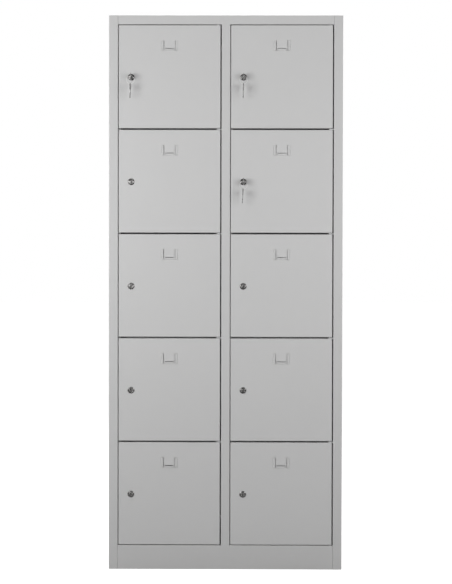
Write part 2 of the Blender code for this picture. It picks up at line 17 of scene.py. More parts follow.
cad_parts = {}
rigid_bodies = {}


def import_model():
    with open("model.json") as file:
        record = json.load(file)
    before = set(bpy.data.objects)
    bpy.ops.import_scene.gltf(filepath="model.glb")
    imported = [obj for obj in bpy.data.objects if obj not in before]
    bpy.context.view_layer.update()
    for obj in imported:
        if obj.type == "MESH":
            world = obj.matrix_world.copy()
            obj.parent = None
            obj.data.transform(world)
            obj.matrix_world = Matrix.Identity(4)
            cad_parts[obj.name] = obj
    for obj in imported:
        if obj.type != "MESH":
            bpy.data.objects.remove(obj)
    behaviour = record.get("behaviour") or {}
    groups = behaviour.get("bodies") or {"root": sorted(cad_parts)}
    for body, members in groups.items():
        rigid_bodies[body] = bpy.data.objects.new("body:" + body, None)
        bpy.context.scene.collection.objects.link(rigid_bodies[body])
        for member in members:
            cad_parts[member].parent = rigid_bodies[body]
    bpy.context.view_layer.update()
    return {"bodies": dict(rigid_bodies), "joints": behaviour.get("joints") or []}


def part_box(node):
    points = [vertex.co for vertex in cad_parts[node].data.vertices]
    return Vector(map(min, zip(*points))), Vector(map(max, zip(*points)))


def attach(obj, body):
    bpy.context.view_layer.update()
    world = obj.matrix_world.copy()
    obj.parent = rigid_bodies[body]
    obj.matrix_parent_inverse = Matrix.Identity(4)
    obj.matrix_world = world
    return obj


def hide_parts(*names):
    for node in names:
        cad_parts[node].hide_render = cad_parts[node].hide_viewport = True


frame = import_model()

# %% [markdown]
# ## Sizes
# Everything is placed from the frame, so that a change to the frame moves the looks with it. Boxes give
# the outer sizes, and the joints give the hinge and lock axes. The few sizes left are those of the sheet
# work.

# %% Read the sizes
SIDES = ("left", "right")
ROWS = 5
LABELS = [f"{side}_{row}" for side in SIDES for row in range(1, ROWS + 1)]
KEYED = [label for label in LABELS if f"keys_{label}" in frame["bodies"]]
pivots = {joint["name"]: Vector(joint["pos_m"]) for joint in frame["joints"]}

SHEET = 0.0008
TOUCH = 0.0003  # what two pieces that meet leave between them
BEND = 0.0014  # outer radius of a fold
STOP_LIP = 0.008
STOP_DEPTH = 0.0165  # from the front to the lip that a door shuts against
POST_DEPTH = 0.020
BACK_FLANGE = 0.015
RAIL_HEIGHT = 0.030

wall_low, wall_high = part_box("side_panel_left")
top_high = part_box("top_panel")[1]
base_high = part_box("base_panel")[1]
post_low, post_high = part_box("centre_partition")
door_low, door_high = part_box("door_left_1")
front, back = wall_low.y, wall_high.y
half_width = top_high.x
height = top_high.z
under_top = wall_high.z
stile_edge = STOP_LIP - wall_high.x
post_half = post_high.x - STOP_LIP
plinth_top = post_low.z - TOUCH
rail_edge = height - RAIL_HEIGHT
inner_half = base_high.x
back_face = base_high.y
print(f"cabinet {2 * half_width:.3f} x {back - front:.3f} x {height:.3f} m")
print(f"stile {half_width - stile_edge:.3f} m, plinth {plinth_top:.3f} m")

# %% [markdown]
# ## A shorthand for nodes
# Materials and geometry trees are both made of nodes. One method adds any node: its settings come first,
# because some of them change its sockets, and then each socket gets a value or a link. Shader sums read
# better as Python, so a small class wraps a socket and gives it the usual operators.

# %% Nodes and numbers
class Nodes:
    """A node tree that is being built."""

    def __init__(self, tree):
        self.tree = tree

    def add(self, kind, settings=None, sockets=None):
        """One node: its settings first, then a value or a link for each of its sockets."""
        node = self.tree.nodes.new(kind)
        for name, value in (settings or {}).items():
            setattr(node, name, value)
        for name, value in (sockets or {}).items():
            value = value.socket if isinstance(value, Number) else value
            if isinstance(value, bpy.types.NodeSocket):
                self.tree.links.new(value, node.inputs[name])
            else:
                node.inputs[name].default_value = value
        return node


class Number:
    """A shader socket that takes part in sums: each operator adds its Math node."""

    def __init__(self, nodes, socket):
        self.nodes = nodes
        self.socket = socket

    def math(self, operation, *values):
        node = self.nodes.add("ShaderNodeMath", {"operation": operation}, dict(enumerate(values)))
        return Number(self.nodes, node.outputs[0])

    def __add__(self, other):
        return self.math("ADD", self, other)

    def __sub__(self, other):
        return self.math("SUBTRACT", self, other)

    def __rsub__(self, other):
        return self.math("SUBTRACT", other, self)

    def __mul__(self, other):
        return self.math("MULTIPLY", self, other)

    __radd__ = __add__
    __rmul__ = __mul__


class Finish(Nodes):
    """A material under way, with its shader and the surface's own coordinates."""

    def __init__(self, name, constants):
        self.material = bpy.data.materials.new(name)
        self.material.use_nodes = True
        super().__init__(self.material.node_tree)
        self.shader = self.tree.nodes["Principled BSDF"]
        for socket, value in constants.items():
            self.shader.inputs[socket].default_value = value
        self.place = self.add("ShaderNodeTexCoord").outputs["Object"]

    def noise(self, scale, detail=2.0, stretch=(1, 1, 1)):
        """Soft random patches, 0 to 1. The scale is how many of them come to a metre."""
        mapped = self.add("ShaderNodeMapping", {}, {"Vector": self.place, "Scale": stretch})
        sockets = {"Vector": mapped.outputs[0], "Scale": scale, "Detail": detail}
        return Number(self, self.add("ShaderNodeTexNoise", {}, sockets).outputs[0])

    def fade(self, value, start, end):
        """1 up to a start value, and 0 from an end value on, with a soft step between them."""
        sockets = {"Value": value, "From Min": start, "From Max": end, "To Min": 1.0, "To Max": 0.0}
        node = self.add("ShaderNodeMapRange", {"interpolation_type": "SMOOTHSTEP"}, sockets)
        return Number(self, node.outputs[0])

    def attribute(self, name):
        node = self.add("ShaderNodeAttribute", {"attribute_name": name})
        return Number(self, node.outputs["Fac"])

    def mix(self, share, one, other):
        """From one colour to another."""
        sockets = {0: share, 6: one, 7: other}
        return self.add("ShaderNodeMix", {"data_type": "RGBA"}, sockets).outputs[2]

    def look(self, colour, roughness):
        self.tree.links.new(colour, self.shader.inputs["Base Color"])
        self.tree.links.new(roughness.socket, self.shader.inputs["Roughness"])

    def bump(self, height_map, distance):
        """Relief: height_map runs from 0 to 1 over a real depth in metres."""
        node = self.add("ShaderNodeBump", {}, {"Height": height_map, "Distance": distance})
        self.tree.links.new(node.outputs[0], self.shader.inputs["Normal"])


def grey(value, warmth=0.0):
    return (value * (1 + warmth), value, value * (1 - warmth), 1)


print("helpers ready")

# %% [markdown]
# ## Powder coat
# All the sheet steel is sprayed with light grey powder and baked. The powder melts into a satin skin with
# a fine orange peel, a grain too small to see from a step away, and clouds of slightly thicker coat. The
# foot of the cabinet picks up a little dust and dull scuffing. Three coats share one recipe: the doors
# are the smoothest, and the insides are rougher and painted a touch darker. The darker tone is painted
# shade for the little light that reaches the insides through the gaps.

# %% Mix the powder coats
PEEL_DEPTH = 0.00006
DUST_HEIGHT = 0.14


def powder_coat(name, tone, roughness, peel=1.0):
    coat = Finish(name, {"IOR": 1.5, "Coat Weight": 0.06, "Coat Roughness": 0.35})
    clouds = coat.noise(2.6, 3)
    patches = coat.noise(38, 2)
    orange_peel = coat.noise(430, 2)
    grain = coat.noise(2600, 1)
    split = coat.add("ShaderNodeSeparateXYZ", {}, {"Vector": coat.place})
    low = coat.fade(split.outputs["Z"], 0.0, DUST_HEIGHT)
    dust = low * coat.noise(60, 4)
    depth = 0.35 * clouds + 0.25 * patches + 0.15 * grain + 0.12
    plain = coat.mix(depth, grey(tone * 0.965), grey(tone * 1.03, 0.003))
    colour = coat.mix(dust * 0.2, plain, grey(tone * 0.86, 0.03))
    rough = roughness + 0.10 * (patches - 0.5) + 0.05 * (clouds - 0.5) + 0.16 * dust
    coat.look(colour, rough)
    coat.bump(0.8 * orange_peel + 0.2 * grain, PEEL_DEPTH * peel)
    return coat.material


cabinet_coat = powder_coat("cabinet powder coat", 0.585, 0.47)
door_coat = powder_coat("door powder coat", 0.60, 0.43)
# The inner coat's darker tone is painted shade, because little light reaches the insides through the door
# gaps.
inner_coat = powder_coat("inner powder coat", 0.55, 0.56, 1.4)
print("coats:", [m.name for m in (cabinet_coat, door_coat, inner_coat)])

# %% [markdown]
# ## Bare metals and rubber
# The lock faces are turned and nickel-plated, so they carry fine rings round their own axis. Those rings
# can't come from the object's coordinates, because every lock has its own middle: each turned piece keeps
# the distance from its axis as an attribute, and the pattern reads that. Zinc plate shows faint crystals,
# keys are brushed along their length, drawn wire has lines along it, and rubber is dull with a fine
# bloom.

# %% Mix the metals
CRYSTAL_DEPTH = 0.00002
BRUSH_DEPTH = 0.00003
BLOOM_DEPTH = 0.00004


def turned_metal(name, tone, roughness, ring_pitch, ring_depth):
    metal = Finish(name, {"Metallic": 1.0})
    rings = (metal.attribute("radius") * (tau / ring_pitch)).math("SINE") * 0.5 + 0.5
    smears = metal.noise(240, 3)
    speck = metal.noise(1900, 2)
    wear = 0.6 * smears + 0.25 * rings + 0.15 * speck
    colour = metal.mix(wear, grey(tone * 0.8), grey(tone * 1.12, 0.02))
    metal.look(colour, roughness + 0.16 * (smears - 0.5) + 0.05 * rings)
    metal.bump(0.7 * rings + 0.3 * speck, ring_depth)
    return metal.material


def plated_metal(name, tone, roughness, crystal_size, warmth):
    metal = Finish(name, {"Metallic": 1.0})
    sockets = {"Vector": metal.place, "Scale": 1 / crystal_size}
    crystals = metal.add("ShaderNodeTexVoronoi", {"feature": "SMOOTH_F1"}, sockets)
    facets = Number(metal, crystals.outputs["Distance"])
    film = metal.noise(310, 3)
    shade = 0.5 * facets + 0.5 * film
    colour = metal.mix(shade, grey(tone * 0.84, warmth), grey(tone * 1.1, -0.01))
    metal.look(colour, roughness + 0.2 * (film - 0.5) + 0.08 * facets)
    metal.bump(0.5 * facets + 0.5 * metal.noise(2300, 2), CRYSTAL_DEPTH)
    return metal.material


def brushed_metal(name, tone, roughness, stretch):
    metal = Finish(name, {"Metallic": 1.0})
    lines = metal.noise(2200, 2, stretch)
    handling = metal.noise(130, 3)
    shade = 0.55 * lines + 0.45 * handling
    colour = metal.mix(shade, grey(tone * 0.82), grey(tone * 1.14, 0.01))
    metal.look(colour, roughness + 0.18 * (handling - 0.5) + 0.1 * (lines - 0.5))
    metal.bump(lines, BRUSH_DEPTH)
    return metal.material


def rubber(name, tone):
    soft = Finish(name, {"IOR": 1.45})
    bloom = soft.noise(520, 4)
    soft.look(soft.mix(bloom, grey(tone * 0.7), grey(tone * 1.5)), 0.72 + 0.2 * (bloom - 0.5))
    soft.bump(soft.noise(1700, 2), BLOOM_DEPTH)
    return soft.material


nickel = turned_metal("polished nickel", 0.30, 0.20, 0.0008, 0.000012)
plug_steel = turned_metal("plug steel", 0.46, 0.28, 0.0011, 0.00002)
zinc = plated_metal("zinc-plated steel", 0.62, 0.34, 0.0016, 0.02)
key_steel = brushed_metal("key steel", 0.42, 0.28, (1, 0.06, 0.06))
ring_steel = brushed_metal("ring steel", 0.88, 0.45, (0.3, 1, 0.3))
buffer_rubber = rubber("buffer rubber", 0.05)
print("metals and rubber mixed")

# %% [markdown]
# ## Making and finishing meshes
# Every piece is worked on as a mesh and joins the scene only when it is done, with its place in its
# vertices. A helper object carries the modifiers while a mesh is cut or thickened. Sheet metal needs one
# more step: its flats meet narrow bends, and plain smooth shading would bend the flats' light too, so the
# normals are weighted by face area.

# %% Mesh helpers
UPRIGHT = Matrix.Identity(4)
ACROSS = Matrix(((0, 0, 1), (1, 0, 0), (0, 1, 0))).to_4x4()  # x and y of a fold line become y and z
FORWARD = Matrix.Rotation(pi / 2, 4, "X")  # turns +Z to face out of the door
SMOOTH_UNDER = radians(32)


def placed(name, data):
    """An object for a mesh, a light or a camera, in the scene."""
    obj = bpy.data.objects.new(name, data)
    bpy.context.scene.collection.objects.link(obj)
    return obj


def off_bench(obj):
    """The object's mesh with its modifiers applied, and the object gone."""
    bpy.context.view_layer.update()
    graph = bpy.context.evaluated_depsgraph_get()
    mesh = bpy.data.meshes.new_from_object(obj.evaluated_get(graph))
    bpy.data.objects.remove(obj, do_unlink=True)
    return mesh


def mesh_of(bm):
    mesh = bpy.data.meshes.new("shape")
    bm.to_mesh(mesh)
    bm.free()
    return mesh


def boxes(corners):
    """One mesh of boxes, each from its lowest and its highest corner."""
    bm = bmesh.new()
    for low, high in corners:
        low, high = Vector(low), Vector(high)
        place = Matrix.Translation((low + high) / 2) @ Matrix.Diagonal((*(high - low), 1))
        bmesh.ops.create_cube(bm, size=1, matrix=place)
    return mesh_of(bm)


def joined(*meshes):
    bm = bmesh.new()
    for mesh in meshes:
        bm.from_mesh(mesh)
    return mesh_of(bm)


def moved(mesh, *turns):
    """A copy of a mesh, with each turn or offset applied after the one before it."""
    copy = mesh.copy()
    for turn in turns:
        copy.transform(turn if isinstance(turn, Matrix) else Matrix.Translation(turn))
    return copy


def worked(mesh, kind, **settings):
    """The mesh after one modifier with these settings."""
    obj = placed("bench", mesh)
    modifier = obj.modifiers.new("work", kind)
    for name, value in settings.items():
        setattr(modifier, name, value)
    return off_bench(obj)


def cut(mesh, cutter, operation="DIFFERENCE"):
    tool = placed("tool", cutter)
    result = worked(mesh, "BOOLEAN", operation=operation, solver="EXACT", object=tool)
    bpy.data.objects.remove(tool, do_unlink=True)
    return result


def eased(mesh, width):
    """The sharp edges rounded off a little."""
    limit = {"limit_method": "ANGLE", "angle_limit": radians(40), "use_clamp_overlap": True}
    return worked(mesh, "BEVEL", width=width, segments=2, **limit)


def thickened(mesh, thickness, offset):
    """A surface made into a sheet, on the side of its normals (1) or behind them (-1)."""
    return worked(mesh, "SOLIDIFY", thickness=thickness, offset=offset, use_even_offset=True)


def shaded(mesh):
    """Smooth bends beside truly flat flats."""
    mesh.shade_smooth()
    mesh.set_sharp_from_angle(angle=SMOOTH_UNDER)
    return worked(mesh, "WEIGHTED_NORMAL", keep_sharp=True)


def piece(name, mesh, finish, body, slot, *nodes):
    """A finished piece on its body, standing for these nodes of the frame."""
    mesh.name = name
    mesh.materials.clear()
    mesh.materials.append(finish)
    obj = placed(name, mesh)
    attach(obj, body)
    if nodes:
        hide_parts(*nodes)


print("bench ready")

# %% [markdown]
# ## The folded sheet
# A press brake makes every large piece here: it bends a flat sheet along straight lines, and each bend
# has the same small radius. That is a rule, so a geometry tree follows it. The fold line goes in as a few
# points, Fillet Curve rounds each corner to the bend radius, and Curve to Mesh sweeps it along a straight
# run. Solidify then gives the sheet its thickness, which keeps the inside of each bend tighter than its
# outside.

# %% Sheet tree
def new_tree(name, inputs):
    """A geometry tree with named inputs: its nodes, and the sockets that give the inputs."""
    tree = bpy.data.node_groups.new(name, "GeometryNodeTree")
    sockets = {"Geometry": "Geometry", **inputs}
    for label, kind in sockets.items():
        tree.interface.new_socket(label, in_out="INPUT", socket_type=f"NodeSocket{kind}")
    tree.interface.new_socket("Geometry", in_out="OUTPUT", socket_type="NodeSocketGeometry")
    nodes = Nodes(tree)
    return nodes, nodes.add("NodeGroupInput").outputs


def end_tree(nodes, given, geometry):
    """The tree's last steps: instances made real, and the finish set."""
    real = nodes.add("GeometryNodeRealizeInstances", {}, {"Geometry": geometry}).outputs[0]
    sockets = {"Geometry": real, "Material": given["Finish"]}
    coloured = nodes.add("GeometryNodeSetMaterial", {}, sockets).outputs[0]
    nodes.add("NodeGroupOutput", {}, {"Geometry": coloured})
    return nodes.tree


def grow(tree, mesh, values):
    """The plain mesh that a tree makes from a starting mesh and its inputs' values."""
    obj = placed("bench", mesh)
    modifier = obj.modifiers.new(tree.name, "NODES")
    modifier.node_group = tree
    for item in tree.interface.items_tree:
        if item.in_out == "INPUT" and item.name in values:
            modifier[item.identifier] = values[item.name]
    return off_bench(obj)


def folded_sheet_tree():
    sizes = {"Bend Radius": "Float", "Bend Steps": "Int", "Run": "Float", "Finish": "Material"}
    nodes, given = new_tree("folded sheet", sizes)
    line = nodes.add("GeometryNodeMeshToCurve", {}, {"Mesh": given["Geometry"]}).outputs[0]
    rounding = {"Curve": line, "Limit Radius": True}
    rounding.update({"Count": given["Bend Steps"], "Radius": given["Bend Radius"]})
    bent = nodes.add("GeometryNodeFilletCurve", {"mode": "POLY"}, rounding).outputs[0]
    end = nodes.add("ShaderNodeCombineXYZ", {}, {"Z": given["Run"]}).outputs[0]
    run = nodes.add("GeometryNodeCurvePrimitiveLine", {}, {"End": end}).outputs[0]
    sockets = {"Curve": run, "Profile Curve": bent}
    return end_tree(nodes, given, nodes.add("GeometryNodeCurveToMesh", {}, sockets).outputs[0])


sheet_tree = folded_sheet_tree()


def folded(line, start, end, side, finish, turn=UPRIGHT, bend=BEND, thickness=SHEET):
    """A folded sheet from start to end of its run, its thickness to the right or left of the line."""
    bm = bmesh.new()
    verts = [bm.verts.new((x, y, 0)) for x, y in line]
    for pair in zip(verts, verts[1:]):
        bm.edges.new(pair)
    inputs = {"Bend Radius": bend, "Bend Steps": 4, "Run": end - start, "Finish": finish}
    mesh = grow(sheet_tree, mesh_of(bm), inputs)
    first, second = Vector(line[0]), Vector(line[1])
    along = second - first
    right = Vector((along.y, -along.x, 0))
    flat = min(mesh.polygons, key=lambda face: (face.center.xy - (first + second) / 2).length)
    if flat.normal.dot(right) < 0:
        mesh.flip_normals()
    sheet = thickened(mesh, thickness, 1 if side == "right" else -1)
    return moved(sheet, (0, 0, start), turn)


print("sheet tree:", len(sheet_tree.nodes), "nodes")

# %% [markdown]
# ## The cabinet
# The left wall and the lock-side stile are one sheet, which ends in the lip that the doors shut against.
# The right wall carries the hinge-side stile. Top and base are folded down at the front as the rail and
# the plinth. Where two sheets would fill the same corner, one of them is notched, as a sheet shop does
# it.

# %% Walls
OVER = 0.001  # how far a cutter runs past what it cuts


def left_wall():
    line = [
        (-stile_edge + STOP_LIP, front + STOP_DEPTH),
        (-stile_edge, front + STOP_DEPTH),
        (-stile_edge, front),
        (-half_width, front),
        (-half_width, back),
        (-half_width + BACK_FLANGE, back),
    ]
    mesh = folded(line, 0, under_top, "right", cabinet_coat)
    near = (-stile_edge - SHEET - OVER, front + STOP_DEPTH - TOUCH)
    far = (-stile_edge + STOP_LIP + OVER, front + STOP_DEPTH + SHEET + OVER)
    trims = boxes([
        ((*near, -OVER), (*far, plinth_top + TOUCH)),
        ((*near, rail_edge - TOUCH), (*far, height)),
    ])
    return shaded(cut(mesh, trims))


def right_wall():
    line = [
        (stile_edge, front + POST_DEPTH),
        (stile_edge, front),
        (half_width, front),
        (half_width, back),
        (half_width - BACK_FLANGE, back),
    ]
    return shaded(folded(line, 0, under_top, "left", cabinet_coat))


piece("side_wall_left", left_wall(), cabinet_coat, "cabinet", "cabinet_coat", "side_panel_left")
piece("side_wall_right", right_wall(), cabinet_coat, "cabinet", "cabinet_coat", "side_panel_right")
print("walls made")

# %% [markdown]
# ## The centre post
# The partition between the columns ends at the front in a hollow post. On the real cabinet the post is
# welded to the rail and the plinth and the joint is ground smooth, so the post's face runs on over their
# folds and no groove shows there. Everything behind that face stops short of them.

# %% Centre post and partition
def partition():
    line = [
        (-SHEET / 2, post_high.y),
        (-SHEET / 2, front + POST_DEPTH),
        (-post_half, front + POST_DEPTH),
        (-post_half, front),
        (post_half, front),
        (post_half, front + STOP_DEPTH),
        (post_half + STOP_LIP, front + STOP_DEPTH),
    ]
    mesh = folded(line, plinth_top - BEND, under_top, "left", cabinet_coat)
    wide = post_half + STOP_LIP + OVER
    deep = front + POST_DEPTH + TOUCH
    for low, high in (
        ((-wide, front - OVER, rail_edge + BEND), (wide, deep, height)),
        ((-wide, front + BEND, rail_edge - TOUCH), (wide, deep, height)),
        ((-wide, front + BEND, 0), (wide, back, post_low.z)),
    ):
        mesh = cut(mesh, boxes([(low, high)]))
    return shaded(mesh)


piece("post_and_partition", partition(), cabinet_coat, "cabinet", "cabinet_coat", "centre_partition")
print("partition made")

# %% Top, base and back
FOOT_FLANGE = 0.025
RAIL_RETURN = 0.016


def notches(edge, near, deep, bottom, ceiling):
    """The same corner notch at the left and the right end of a sheet."""
    far = half_width + OVER
    return boxes([
        ((-far, near, bottom), (-edge, deep, ceiling)),
        ((edge, near, bottom), (far, deep, ceiling)),
    ])


def stile_notches(bottom, ceiling):
    return notches(stile_edge - TOUCH, front - OVER, front + POST_DEPTH + TOUCH, bottom, ceiling)


def top_sheet():
    line = [
        (front + RAIL_RETURN, rail_edge),
        (front, rail_edge),
        (front, height),
        (back, height),
        (back, height - BACK_FLANGE),
    ]
    mesh = folded(line, -half_width, half_width, "right", cabinet_coat, ACROSS)
    under = height - SHEET
    mesh = cut(mesh, stile_notches(rail_edge - OVER, under))
    edge = half_width - BACK_FLANGE - TOUCH
    low = height - BACK_FLANGE - OVER
    return shaded(cut(mesh, notches(edge, back - SHEET - TOUCH, back + OVER, low, under)))


def base_sheet():
    line = [
        (front + FOOT_FLANGE, 0),
        (front, 0),
        (front, plinth_top),
        (back_face, plinth_top),
        (back_face, 0),
        (back_face - FOOT_FLANGE, 0),
    ]
    mesh = folded(line, -inner_half, inner_half, "right", cabinet_coat, ACROSS)
    return shaded(cut(mesh, stile_notches(-OVER, plinth_top + OVER)))


piece("top_and_rail", top_sheet(), cabinet_coat, "cabinet", "cabinet_coat", "top_panel")
piece("floor_and_plinth", base_sheet(), cabinet_coat, "cabinet", "cabinet_coat", "base_panel")
rear_sheet = shaded(eased(boxes([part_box("back_panel")]), SHEET / 4))
piece("rear_sheet", rear_sheet, inner_coat, "cabinet", "inner_coat", "back_panel")
print("top, base and back made")

# %% Shelves
SHELF_HEM = 0.010


def shelf(side):
    low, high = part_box(f"shelf_{side}_1")
    line = [
        (low.y + SHELF_HEM, low.z - high.z),
        (low.y, low.z - high.z),
        (low.y, 0),
        (high.y, 0),
        (high.y, low.z - high.z),
    ]
    return shaded(folded(line, low.x, high.x, "right", inner_coat, ACROSS))


for side in SIDES:
    shelf_sheet = shelf(side)
    for row in range(1, ROWS):
        node = f"shelf_{side}_{row}"
        lifted = moved(shelf_sheet, (0, 0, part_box(node)[1].z))
        piece(f"tray_{side}_{row}", lifted, inner_coat, "cabinet", "inner_coat", node)
print("shelves made")

# %% [markdown]
# ## The doors
# A door is a pan: a face, four returns and a narrow lip turned inwards, with welded corners. Bevelling
# the block that the pan starts from gives the face its round edge, which catches the light as a thin
# bright line. The card holder is not a part of its own. Three tabs are lanced through the face and pushed
# out by a little more than a card's thickness, so each tab has a slot behind it, and the slot shows as a
# dark line.

# %% Door pan
DOOR_LIP = 0.011
FACE_EDGE = 0.0015
hinge = pivots["door_left_1_hinge"]
lock_axis = pivots["lock_left_1_turn"]
pan_low = Vector((door_low.x, front, door_low.z)) - hinge
pan_high = Vector((door_high.x, door_high.y, door_high.z)) - hinge
lock_in_door = lock_axis - hinge
PIN_HOLE = 0.0028
BODY_RADIUS = 0.009
BODY_FLAT = 0.0078


def pan_blank():
    """The bent pan before its holes: a bevelled block with its back open, and a lip round the opening."""
    bm = bmesh.new()
    bm.from_mesh(boxes([(pan_low, pan_high)]))
    rear = max(bm.faces, key=lambda face: face.calc_center_median().y)
    bmesh.ops.delete(bm, geom=[rear], context="FACES")
    folds = [edge for edge in bm.edges if not edge.is_boundary]
    bmesh.ops.bevel(bm, geom=folds, offset=FACE_EDGE, segments=4, profile=0.5, affect="EDGES")
    rim = [edge for edge in bm.edges if edge.is_boundary]
    inner = bmesh.ops.extrude_edge_only(bm, edges=rim)["geom"]
    middle = (pan_low + pan_high) / 2
    size = pan_high - pan_low
    for vert in [item for item in inner if isinstance(item, bmesh.types.BMVert)]:
        vert.co.x += (middle.x - vert.co.x) * 2 * DOOR_LIP / size.x
        vert.co.z += (middle.z - vert.co.z) * 2 * DOOR_LIP / size.z
    bmesh.ops.recalc_face_normals(bm, faces=bm.faces)
    face = min(bm.faces, key=lambda face: face.calc_center_median().y)
    if face.normal.y > 0:
        bmesh.ops.reverse_faces(bm, faces=bm.faces)
    return thickened(mesh_of(bm), SHEET, -1)


def rod(start, end, radius, steps=32):
    start, end = Vector(start), Vector(end)
    turn = (end - start).to_track_quat("Z", "Y").to_matrix().to_4x4()
    bm = bmesh.new()
    bmesh.ops.create_cone(
        bm, cap_ends=True, segments=steps, radius1=radius, radius2=radius,
        depth=(end - start).length, matrix=Matrix.Translation((start + end) / 2) @ turn,
    )
    return mesh_of(bm)


def lock_hole():
    """Round with two flats, so that the lock's body can't turn in the door."""
    x, y, z = lock_in_door
    bm = bmesh.new()
    bm.from_mesh(rod((x, y - OVER, z), (x, y + 2 * OVER, z), BODY_RADIUS + TOUCH, 48))
    for vert in bm.verts:
        vert.co.x = min(max(vert.co.x, x - BODY_FLAT - TOUCH), x + BODY_FLAT + TOUCH)
    return mesh_of(bm)


blank = pan_blank()
for end in (pan_low.z, pan_high.z):
    blank = cut(blank, rod((0, 0, end - 2 * OVER), (0, 0, end + 2 * OVER), PIN_HOLE))
blank = cut(blank, lock_hole())
print("pan:", len(blank.polygons), "faces")

# %% Card holder
CARD_DROP = 0.0505
CARD_WIDTH = 0.053
CARD_HEIGHT = 0.0345
SIDE_TAB = 0.0068
SIDE_LENGTH = 0.034
FOOT_TAB = 0.0065
FOOT_LENGTH = 0.028
TAB_RAISE = 0.0017
TAB_SHEET = 0.0006
TAB_BEND = 0.0007
LEFT_SLOT = 0.0014
RIGHT_SLOT = 0.001
FOOT_SLOT = 0.0019
card_top = pan_high.z - CARD_DROP
card_middle = (pan_low.x + pan_high.x) / 2


def card_slots():
    """Where the tabs' metal came from: each slot is a little longer and wider than its tab."""
    face = (pan_low.y - OVER, pan_low.y + SHEET + OVER / 2)
    half = CARD_WIDTH / 2
    root = SHEET
    slots = []
    for sign, slot in ((-1, LEFT_SLOT), (1, RIGHT_SLOT)):
        near = card_middle + sign * (half - root)
        far = card_middle + sign * (half - SIDE_TAB - slot)
        low = (min(near, far), face[0], card_top - SIDE_LENGTH - TOUCH)
        slots.append((low, (max(near, far), face[1], card_top + TOUCH)))
    bottom = card_top - CARD_HEIGHT
    reach = FOOT_LENGTH / 2 + TOUCH
    low = (card_middle - reach, face[0], bottom + root)
    slots.append((low, (card_middle + reach, face[1], bottom + FOOT_TAB + FOOT_SLOT)))
    return boxes(slots)


def card_tabs():
    root = pan_low.y + SHEET / 2
    crest = pan_low.y - TAB_RAISE
    tabs = []
    for sign in (-1, 1):
        edge = card_middle + sign * CARD_WIDTH / 2
        line = [(edge, root), (edge, crest), (edge - sign * SIDE_TAB, crest)]
        run = (card_top - SIDE_LENGTH, card_top)
        side = "right" if sign < 0 else "left"
        tabs.append(folded(line, *run, side, door_coat, UPRIGHT, TAB_BEND, TAB_SHEET))
    bottom = card_top - CARD_HEIGHT
    line = [(root, bottom), (crest, bottom), (crest, bottom + FOOT_TAB)]
    run = (card_middle - FOOT_LENGTH / 2, card_middle + FOOT_LENGTH / 2)
    tabs.append(folded(line, *run, "right", door_coat, ACROSS, TAB_BEND, TAB_SHEET))
    return joined(*tabs)


pan = shaded(joined(cut(blank, card_slots()), card_tabs()))
print("pan with card holder:", len(pan.polygons), "faces")

# %% [markdown]
# ## Inside the doors
# A hat-shaped channel stiffens each pan. It is folded by the same tree as the cabinet and spot-welded to
# the back of the face. It stands between the lock and the hinge, clear of the cam and of the card holder.

# %% Stiffener, and a door for every compartment
HAT_DEPTH = 0.009
HAT_HALF = 0.014
HAT_FOOT = 0.010
HAT_SLOPE = 0.004
HAT_FROM_MIDDLE = 0.062


def stiffener():
    foot = pan_low.y + SHEET + TOUCH / 3
    crown = foot + HAT_DEPTH
    middle = card_middle + HAT_FROM_MIDDLE
    line = [
        (middle - HAT_HALF - HAT_FOOT, foot),
        (middle - HAT_HALF, foot),
        (middle - HAT_HALF + HAT_SLOPE, crown),
        (middle + HAT_HALF - HAT_SLOPE, crown),
        (middle + HAT_HALF, foot),
        (middle + HAT_HALF + HAT_FOOT, foot),
    ]
    room = pan_high.z - DOOR_LIP - OVER
    return shaded(folded(line, -room, room, "left", inner_coat))


hat = stiffener()
for label in LABELS:
    place = pivots[f"door_{label}_hinge"]
    body = f"door_{label}"
    piece(f"leaf_{label}", moved(pan, place), door_coat, body, "door_coat", body)
    piece(f"stiffener_{label}", moved(hat, place), inner_coat, body, "inner_coat")
print(len(LABELS), "doors hung")

# %% [markdown]
# ## Round pieces
# Pins, locks, nuts, washers and screws are all turned. One helper revolves a profile and keeps each
# point's distance from the axis, which the turned finishes read for their rings.

# %% Lathe
def turned(profile, steps=40, ring=False):
    """A turned shape about Z from (radius, height) points. A ring's profile closes on itself."""
    bm = bmesh.new()
    reach = bm.verts.layers.float.new("radius")
    rings = []
    for radius, level in profile:
        count = steps if radius else 1
        angles = (tau * step / steps for step in range(count))
        rings.append([bm.verts.new((radius * cos(a), radius * sin(a), level)) for a in angles])
        for vert in rings[-1]:
            vert[reach] = radius
    pairs = list(zip(rings, rings[1:])) + ([(rings[-1], rings[0])] if ring else [])
    for one, other in pairs:
        for step in range(steps):
            after = (step + 1) % steps
            loop = [one[step % len(one)], one[after % len(one)]]
            loop += [other[after % len(other)], other[step % len(other)]]
            bm.faces.new(list(dict.fromkeys(loop)))
    bmesh.ops.recalc_face_normals(bm, faces=bm.faces)
    return mesh_of(bm)


def rounded(outline, size, steps=3):
    """Profile points with every corner but the first and last rounded by a small curve."""
    result = [outline[0]]
    for before, corner, after in zip(outline, outline[1:], outline[2:]):
        corner = Vector(corner)
        towards = [Vector(before) - corner, Vector(after) - corner]
        start, end = (corner + leg.normalized() * min(size, leg.length / 2.5) for leg in towards)
        for step in range(steps + 1):
            t = step / steps
            result.append(tuple((1 - t) ** 2 * start + 2 * t * (1 - t) * corner + t * t * end))
    return result + [outline[-1]]


print("lathe ready")

# %% [markdown]
# ## Hinges
# Between two doors a plate stands out of the stile, and a pin through it enters the door above and the
# door below. At the very top and bottom of a column the pin is fixed in the rail or the plinth. The
# plates show as light strips at the right end of the gaps, so their front edges are square and coated.

